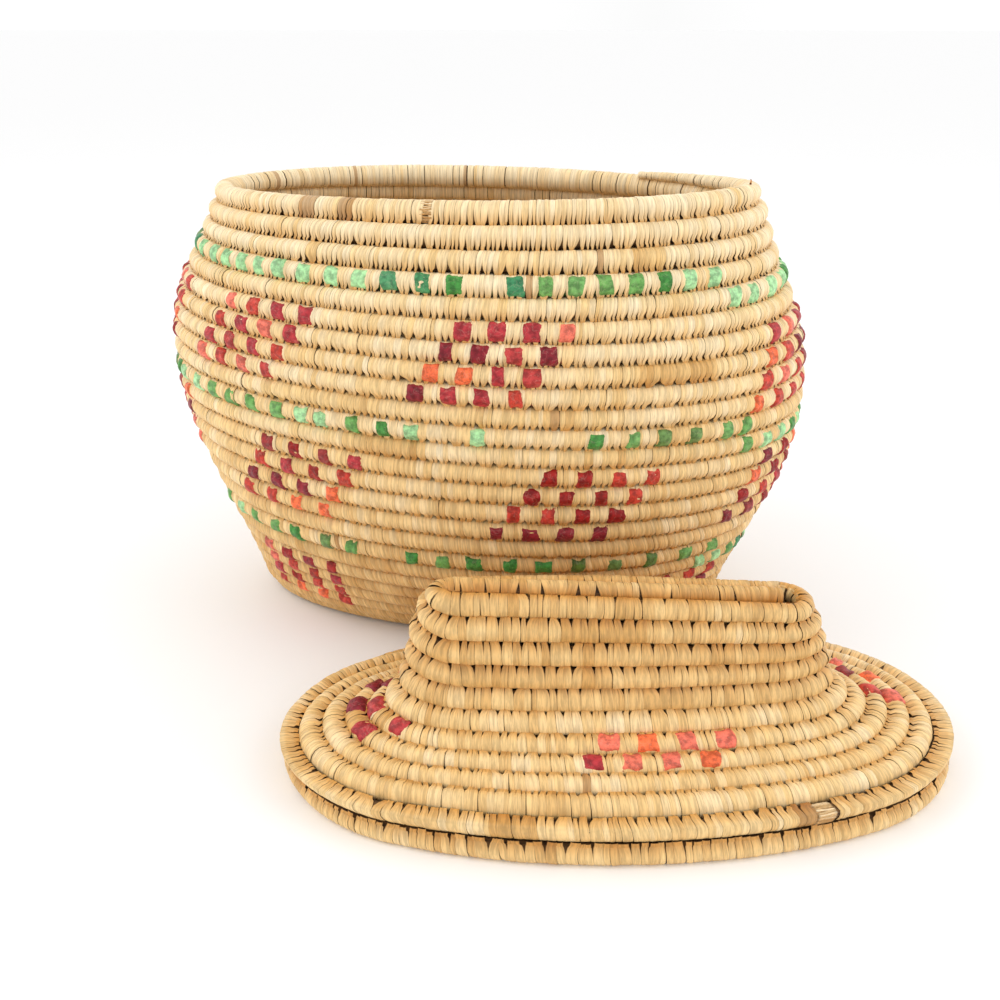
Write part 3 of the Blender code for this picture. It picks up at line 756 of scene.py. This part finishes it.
# Widths, leans, tones and gaps as pairs of turn and number: the strands are wide half way up and narrow near
# the rim. A span is a turn number and half of how many turns it takes
WALL_LOOK = {
    "width": ((5, 0.0025), (12.5, 0.0027), (14, 0.0030), (22.5, 0.0029), (23.8, 0.0023), (28, 0.0022)),
    "lean": ((5, -0.0040), (10, -0.0036), (13, -0.0018), (16, -0.0004), (20, 0.0003), (24, 0.0008),
             (28, 0.0010)),
    # Tone by row: golden on the low wall and cream near the rim, so the wall is darker towards the bottom
    "pale": ((5, 0.12), (9, 0.20), (13, 0.46), (20, 0.62), (24, 0.74), (28, 0.84)),
    "spread": 0.22, "pinch": 0.14, "bruised": 0.002, "gap": ((5, 1.5), (11, 1.35), (13, 0.95)),
    "dark_spans": ((27.101, 0.010), (22.107, 0.022), (26.925, 0.004), (17.97, 0.020)),
}
RIM_BARE = ((28.9853, 0.0022),)
RIM_LOOK = {"width": 0.0021, "spread": 0.26, "lean": 0.0008, "pinch": 0.12, "gap": 0.70, "pale": 0.86,
            "bruised": 0.006, "brown_spans": ((28.914, 0.0055), (28.9405, 0.004)), "bare": RIM_BARE}
add_stitches("base_stitches", basket, "grass", FREE_END, WALL_CUTS[0], BASE_LOOK, wall_grass,
             ["base_coil"], 11)
for k, wall_node in enumerate(WALL_NODES):
    add_stitches(f"{wall_node}_stitches", basket, "grass", WALL_CUTS[k], WALL_CUTS[k + 1], WALL_LOOK,
                 wall_grass, [wall_node], 20 + k)
add_stitches("rim_stitches", basket, "rim_grass", WALL_CUTS[-1], RIM_END, RIM_LOOK, wall_grass,
             ["rim_coil"], 31)

# %% Stitches of the lid
LID_CUTS = (5.53, 10.53)
LID_BARE = ((11.0975, 0.0048),)
KNOB_LOOK = {"width": 0.0036, "spread": 0.30, "lean": 0.0004, "pinch": 0.10, "gap": 0.46, "pale": 0.28,
             "bruised": 0.002, "dark_spans": ((1.983, 0.030),), "wrapped_to": 1.62}
LID_LOOK = {"width": 0.0031, "spread": 0.28, "lean": 0.0008, "pinch": 0.14, "gap": 0.56, "pale": 0.52,
            "bruised": 0.002, "dark_spans": ((7.765, 0.022), (6.79, 0.012))}
EDGE_LOOK = {"width": 0.0033, "spread": 0.28, "lean": 0.0014, "pinch": 0.08, "bruised": 0.0,
             "pale": ((11.3, 0.50), (11.6, 0.38)), "gap": ((11.3, 0.50), (11.6, 0.20)),
             "dark_spans": ((10.935, 0.012),), "brown_spans": ((11.0865, 0.0055),), "bare": LID_BARE}
add_stitches("knob_stitches", lid, "lid_grass", FREE_END, LID_CUTS[0], KNOB_LOOK, lid_grass,
             ["lid_crown_coil"], 41)
add_stitches("lid_top_stitches", lid, "lid_grass", *LID_CUTS, LID_LOOK, lid_grass, ["lid_flange_coil"], 42)
add_stitches("lid_edge_stitches", lid, "lid_grass", LID_CUTS[1], LID_END, EDGE_LOOK, lid_grass,
             ["lid_edge_coil", "lid_lip_coil"], 43)

# %% [markdown]
# ## Bare stems and loose ends
#
# Where a strand has worn away the bundle's stems show as fine rods side by side, lighter than the painted
# shade of the bundle inside, because they are at the surface. They are thin tubes laid along the row at
# steps of the angle round it. One strand's end has come loose at the back of the lid, and another near
# the right end of the rim. Each is a thin tube too, whose path winds up round a small circle.

# %% Stems and loose ends
STEM_RADIUS = 0.00055
STEM_SIDES = 6
STEM_POINTS = 9
STEM_ANGLES = np.radians(np.arange(-70.0, 130.0, 12.0))
STEM_OVERLAP = 0.0008
STEM_LEVEL = -0.00045
STEM_DARK = np.array([0.56, 0.34, 0.13])
STEM_SPREAD = np.array([0.34, 0.36, 0.30])
CURL_POINTS = 22
CURL_RADIUS = 0.0005


def tube_grids(paths, radius):
    """Tubes round paths (count, points, 3): a circle square to the path at every point, closed round."""
    ahead = unit(np.gradient(paths, axis=1))
    first = unit(np.cross(ahead, np.array([0.31, 0.22, 0.93])))
    second = np.cross(ahead, first)
    angle = 2 * math.pi * np.arange(STEM_SIDES) / STEM_SIDES
    c, s = np.cos(angle)[None, :, None, None], np.sin(angle)[None, :, None, None]
    ring = c * first[:, None] + s * second[:, None]
    return paths[:, None] + radius[None, None, :, None] * ring


def add_stems(name, spiral, spans, seed):
    """Rods along the row over each bare span, each at its own angle round the row."""
    rng = np.random.default_rng(seed)
    grids = []
    for middle, half in spans:
        reach = half + STEM_OVERLAP
        frames = row_frames(spiral, np.linspace(middle - reach, middle + reach, STEM_POINTS))
        paths = []
        for angle in STEM_ANGLES:
            sway = angle + 0.05 * np.sin(np.linspace(0, 3, STEM_POINTS) + rng.random() * 6)
            place_out, place_up = section(frames, sway[:, None], STEM_LEVEL + rng.normal(0, 0.0001))
            paths.append(off_row(frames, place_out[:, 0], place_up[:, 0]))
        grids.append(tube_grids(np.array(paths), np.full(STEM_POINTS, STEM_RADIUS)))
    grids = np.concatenate(grids)
    tone = rng.random((len(grids), 1))
    colours = np.hstack([STEM_DARK + tone * STEM_SPREAD, tone])
    grid_mesh(name, grids, colours, lid_grass, spiral, closed=True, flip=True)


def add_curl(name, spiral, turn, angle, turns_round, size, colour):
    """A loose end: it leaves the row at an angle round it and winds up round a small circle."""
    frames = row_frames(spiral, np.array([turn]))
    along, up, out = frames[1][0], frames[2][0], frames[4][0]
    place_out, place_up = section(frames, np.array([[angle]]), 0.0)
    root = off_row(frames, place_out, place_up)[0, 0]
    away = out * math.cos(angle) + up * math.sin(angle)
    share = np.linspace(0, 1, CURL_POINTS)
    wind = 2 * math.pi * turns_round * share
    shrink = size * (1 - 0.45 * share)
    path = root + away * ((1 - np.cos(wind)) * shrink)[:, None] + along * (np.sin(wind) * shrink)[:, None]
    path = path + np.cross(away, along) * (0.4 * size * share)[:, None]
    grids = tube_grids(path[None], CURL_RADIUS * (1 - 0.6 * share))
    grid_mesh(name, grids, np.array([[*colour, 0.5]]), lid_grass, spiral, closed=True, flip=True)


add_stems("rim_stems", basket, RIM_BARE, 61)
add_stems("lid_stems", lid, LID_BARE, 62)
add_curl("lid_loose_end", lid, 11.639, 1.2, 0.8, 0.0026, (0.70, 0.46, 0.20))
add_curl("rim_loose_end", basket, 29.216, 0.9, 0.3, 0.0020, (0.66, 0.26, 0.05))

# %% [markdown]
# ## The dyed gut
#
# Gut is thin, crinkled and slightly see-through, and its dye is uneven; the same blotches of brightness
# also stand in for the light and shade of its folds, as painted light and shade. Along some rows a strip
# of it lies between the bundle and the stitches, and shows dark between their points: its colour is
# darkened as painted shade. Every few stitches it comes out over them as a square check, crinkled by its
# own drying. Red checks make leaning motifs, of four rows on the basket and of two on the lid, and green
# ones run once round the basket. Thin pale lines where a noise pattern crosses its middle value are
# painted highlights on the creases.

# %% Gut material and shapes
# Crimson, red, orange, maroon, salmon and deep red, and then vivid, middle, mint, olive and emerald green
REDS = ((0.42, 0.034, 0.042), (0.54, 0.050, 0.030), (0.86, 0.16, 0.055), (0.23, 0.016, 0.026),
        (0.78, 0.17, 0.11), (0.30, 0.012, 0.010))
GREENS = ((0.06, 0.26, 0.05), (0.15, 0.36, 0.09), (0.38, 0.68, 0.33), (0.11, 0.20, 0.04),
          (0.05, 0.24, 0.10))
# Painted highlight: the pale colour mixed in along the creases
CREASE_HIGHLIGHT_TINT = (0.86, 0.60, 0.46, 1.0)
# Painted shade: the strips under the stitches are coloured much darker than the checks, as shade between the
# points
SHADED_RED_STRIP = (0.15, 0.012, 0.010)
SHADED_GREEN_STRIP = (0.020, 0.070, 0.016)
# A check's rows of points by their angle from straight out, in degrees, and its columns by their share of
# half its width
CHECK_ROWS = np.linspace(-76.0, 52.0, 9)
CHECK_COLUMNS = np.linspace(-1.0, 1.0, 9)
CHECK_LIFT = 0.00060
CHECK_WAVES = (0.00024, 0.00019, 0.00014)
STRIP_LEVEL = -0.00046


def gut_material(name):
    material, nodes, links, shader = node_material(name)
    shader.inputs["Roughness"].default_value = 0.42
    shader.inputs["Specular IOR Level"].default_value = 0.25
    tint = new_node(nodes, "ShaderNodeAttribute", attribute_name="tint")
    coordinates = new_node(nodes, "ShaderNodeTexCoord")
    # Brightness blotches over the gut: uneven dye, and also painted light and shade of its folds
    dye_and_fold_blotches = new_node(nodes, "ShaderNodeTexNoise", Scale=380.0, Detail=4.0, Roughness=0.6)
    links.new(coordinates.outputs["Object"], dye_and_fold_blotches.inputs["Vector"])
    uneven = step_node(nodes, links, dye_and_fold_blotches.outputs["Fac"], 0.32, 0.68, 0.62, 1.40)
    # Painted highlight: where this noise crosses its middle value, a thin pale line runs along a crease
    creases = new_node(nodes, "ShaderNodeTexNoise", Scale=230.0, Detail=3.0, Distortion=0.6)
    links.new(coordinates.outputs["Object"], creases.inputs["Vector"])
    off = math_node(nodes, links, "SUBTRACT", creases.outputs["Fac"], 0.5)
    off = math_node(nodes, links, "ABSOLUTE", off)
    pale = step_node(nodes, links, off, 0.0, 0.022, 0.12, 0.0)
    deepen = new_node(nodes, "ShaderNodeVectorMath", operation="SCALE")
    links.new(tint.outputs["Color"], deepen.inputs[0])
    links.new(uneven, deepen.inputs["Scale"])
    crease_highlight = new_node(nodes, "ShaderNodeMix", data_type="RGBA")
    crease_highlight.inputs["B"].default_value = CREASE_HIGHLIGHT_TINT
    links.new(pale, crease_highlight.inputs["Factor"])
    links.new(deepen.outputs[0], crease_highlight.inputs["A"])
    links.new(crease_highlight.outputs["Result"], shader.inputs["Base Color"])
    bump = new_node(nodes, "ShaderNodeBump", Strength=0.8, Distance=0.0008)
    links.new(creases.outputs["Fac"], bump.inputs["Height"])
    links.new(bump.outputs[0], shader.inputs["Normal"])
    return material


dyed_gut = gut_material("dyed_gut")


def check_grids(rng, spiral, turns, widths):
    """Crinkled squares over the stitches: a point lies at its angle round the row and its share of half the
    width along it, lifted by a sum of three sine waves with chance ways, and lowered close to the edge."""
    frames = row_frames(spiral, turns)
    count = len(turns)
    angle = np.radians(CHECK_ROWS)[None, :] + np.zeros((count, 1))
    angle = angle + (rng.normal(0, 0.06, (count, 1)) * np.linspace(0.3, 1, len(CHECK_ROWS)))
    place_out, place_up = section(frames, angle, 0.0)
    u = CHECK_COLUMNS[None, None, :]
    v = np.linspace(-1, 1, len(CHECK_ROWS))[None, :, None]
    waves = np.zeros((count, len(CHECK_ROWS), len(CHECK_COLUMNS)))
    for size in CHECK_WAVES:
        way = rng.normal(0, 2.8, (count, 2))
        phase = rng.random(count) * ROUND
        waves += size * np.sin(way[:, 0, None, None] * u + way[:, 1, None, None] * v + phase[:, None, None])
    edge = np.maximum(np.abs(u), np.abs(v))
    height = CHECK_LIFT + waves - 0.0008 * smooth(edge, 0.8, 1.0)
    wander = 0.06 * np.sin(3 * v + rng.random((count, 1, 1)) * ROUND)
    side = u * (widths / 2)[:, None, None] * (1 + wander)
    side = side + rng.normal(0, 0.0003, (count, 1, 1)) * v
    grid = off_row(frames, place_out[:, :, None] + height * np.cos(angle)[:, :, None],
                   place_up[:, :, None] + height * np.sin(angle)[:, :, None])
    return grid + frames[1][:, None, None, :] * side[..., None]


def gut_colours(rng, shades, picks):
    """Each check takes its own shade, or by chance one of them where its pick is -1, mixed a little with
    another."""
    shades, picks, count = np.array(shades), np.array(picks), len(picks)
    first = shades[np.where(picks < 0, rng.integers(0, len(shades), count), picks)]
    second = shades[rng.integers(0, len(shades), count)]
    colour = first + (second - first) * (0.16 * rng.random((count, 1)))
    return np.hstack([colour, rng.random((count, 1))])


def add_checks(name, spiral, turns, width, shades, picks, stem, seed):
    """Checks at the given turns, in place of the nodes whose names begin with the stem."""
    rng = np.random.default_rng(seed)
    turns = np.concatenate(turns)
    widths = width * np.clip(rng.normal(1.0, 0.09, len(turns)), 0.75, 1.25)
    grids = check_grids(rng, spiral, turns, widths)
    colours = gut_colours(rng, shades, picks)
    piece = grid_mesh(name, grids, colours, dyed_gut, spiral, flip=spiral["outside"] > 0)
    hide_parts(*[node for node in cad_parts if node.startswith(stem)])


def add_strips(name, spiral, spans, points, colour):
    """Flat strips along a row under its stitches, from one turn number to another."""
    angle = np.radians(np.linspace(-80.0, 60.0, 6))
    grids = []
    for start, end in spans:
        frames = row_frames(spiral, np.linspace(start, end, points))
        place_out, place_up = section(frames, angle[None, :] + np.zeros((points, 1)), STRIP_LEVEL)
        grids.append(off_row(frames, place_out, place_up))
    colours = np.tile([[*colour, 0.5]], (len(grids), 1))
    grid_mesh(name, np.array(grids), colours, dyed_gut, spiral, flip=spiral["outside"] < 0)


def turn_after(spiral, turn, distance):
    """The turn numbers that lie the given distances along the bundle from a turn."""
    turns, lengths = length_along(spiral, turn - 0.2, turn + 0.2)
    here = np.interp(turn, turns, lengths)
    return np.interp(here + np.asarray(distance, float), lengths, turns)


# %% Red gut
CHECKS = 4
CHECK_WIDTH = 0.0069
LID_CHECK_WIDTH = 0.0080
# How far a motif's strip reaches from its middle, in distances from check to check
STRIP_REACH = 2.1
STRIP_POINTS = 24
# Bands of red motifs: lowest row, motifs round, distance from check to check, and for each row the turn of
# the middle of the motif at the left, of the one in front and of the one at the right, and the shades of the
# first two
RED_BANDS = (
    (7, 4, 0.0138, (
        (-0.117, 0.131, 0.382, "12215151"), (-0.116, 0.133, 0.384, "05110000"),
        (-0.114, 0.136, 0.386, "41503333"), (-0.113, 0.139, 0.389, "45351111"))),
    (14, 7, 0.0150, (
        (-0.0990, 0.0465, 0.194, "11223333"), (-0.0895, 0.0540, 0.201, "33321155"),
        (-0.0793, 0.0618, 0.207, "10515551"), (-0.0714, 0.0693, 0.214, "35305511"))),
    (21, 8, 0.0138, (
        (-0.1159, 0.0074, -0.811, "41403001"), (-0.1087, 0.0145, -0.802, "00012200"),
        (-0.1013, 0.0218, -0.794, "10403303"), (-0.0952, 0.0300, -0.785, "41000004"))),
)
# Motifs of the lid: the turns of the middles of its inner and outer row, and the shades, or none by chance
LID_MOTIFS = ((6.730, 7.720, "33004330"), (7.026, 8.0133, "42440442"), (7.510, 8.500, ""),
              (8.322, 9.309, "13404242"))
LID_PITCH = 0.0155


def motif_middles(left, front, right, count):
    """Turns of all the motifs round a row: the three that are given, and the rest evenly round the back."""
    end = left if right < left else left + 1
    return [left, front, *np.linspace(right, end, count - 1)[:-1]]


def motif_row(spiral, middle, pitch):
    """Turns of one row of a motif's checks, and where the strip behind them starts and ends."""
    spots = np.arange(CHECKS) - (CHECKS - 1) / 2
    ends = [-STRIP_REACH * pitch, STRIP_REACH * pitch]
    return turn_after(spiral, middle, spots * pitch), turn_after(spiral, middle, ends)


red_turns, red_spans, red_picks = [], [], []
for first_row, count, pitch, rows in RED_BANDS:
    for k, (left, front, right, picks) in enumerate(rows):
        for middle in motif_middles(left, front, right, count):
            places, span = motif_row(basket, first_row + k + middle, pitch)
            red_turns.append(places)
            red_spans.append(span)
        red_picks += [int(c) for c in picks] + [-1] * (CHECKS * (count - 2))
add_strips("red_strips", basket, red_spans, STRIP_POINTS, SHADED_RED_STRIP)
add_checks("red_checks", basket, red_turns, CHECK_WIDTH, REDS, red_picks, "red_motif", 51)
lid_turns, lid_spans, lid_picks = [], [], []
for inner, outer, picks in LID_MOTIFS:
    for middle in (inner, outer):
        places, span = motif_row(lid, middle, LID_PITCH)
        lid_turns.append(places)
        lid_spans.append(span)
    lid_picks += [int(c) for c in picks] or [-1] * 2 * CHECKS
add_strips("lid_red_strips", lid, lid_spans, STRIP_POINTS, SHADED_RED_STRIP)
add_checks("lid_red_checks", lid, lid_turns, LID_CHECK_WIDTH, REDS, lid_picks,
           "lid_red_motif", 53)

# %% Green gut
GREEN_CHECK_WIDTH = 0.0066
GREEN_STRIP_POINTS = 340
# Where a green strip starts and ends, in turns from its row's number: a little more than once round
GREEN_START, GREEN_END = -0.87, 0.145
GREEN_ROWS = (
    (12, 0.0175, (-0.846, -0.828), "22", (
        -0.188, -0.162, -0.1412, -0.1194, -0.1009, -0.0783, -0.0609, -0.0246, -0.0077, 0.0093, 0.0283, 0.0465,
        0.0655, 0.0870, 0.1100, 0.1350, 0.1590), "12110310100033311"),
    (19, 0.0172, (-0.846, -0.828, -0.810), "122", (
        -0.1779, -0.1547, -0.1359, -0.1200, -0.1037, -0.0869, -0.0724, -0.0615, -0.0453, -0.0304, -0.0171,
        0.0121, 0.0650, 0.0830, 0.0986, 0.1159, 0.1365, 0.1500), "221111221022013311"),
    (26, 0.0165, (-0.8459, -0.8285, -0.8048, -0.7805), "2222", (
        -0.1779, -0.1553, -0.1385, -0.1227, -0.1078, -0.0934, -0.0766, -0.0597, -0.0447, -0.0293, -0.0126,
        0.0025, 0.0315, 0.0460, 0.0610, 0.0761, 0.0919, 0.1087, 0.1250, 0.1420), "22222222244041111022"),
)
green_turns, green_spans, green_picks = [], [], []
for row, pitch, right, right_picks, front, front_picks in GREEN_ROWS:
    back = np.arange(right[-1] + pitch, front[0] - 0.6 * pitch, pitch)
    green_turns.append(row + np.array([*right, *back, *front]))
    green_picks += [int(c) for c in right_picks] + [-1] * len(back) + [int(c) for c in front_picks]
    green_spans.append((row + GREEN_START, row + GREEN_END))
add_strips("green_strips", basket, green_spans, GREEN_STRIP_POINTS, SHADED_GREEN_STRIP)
add_checks("green_checks", basket, green_turns, GREEN_CHECK_WIDTH, GREENS, green_picks,
           "green_strip", 52)
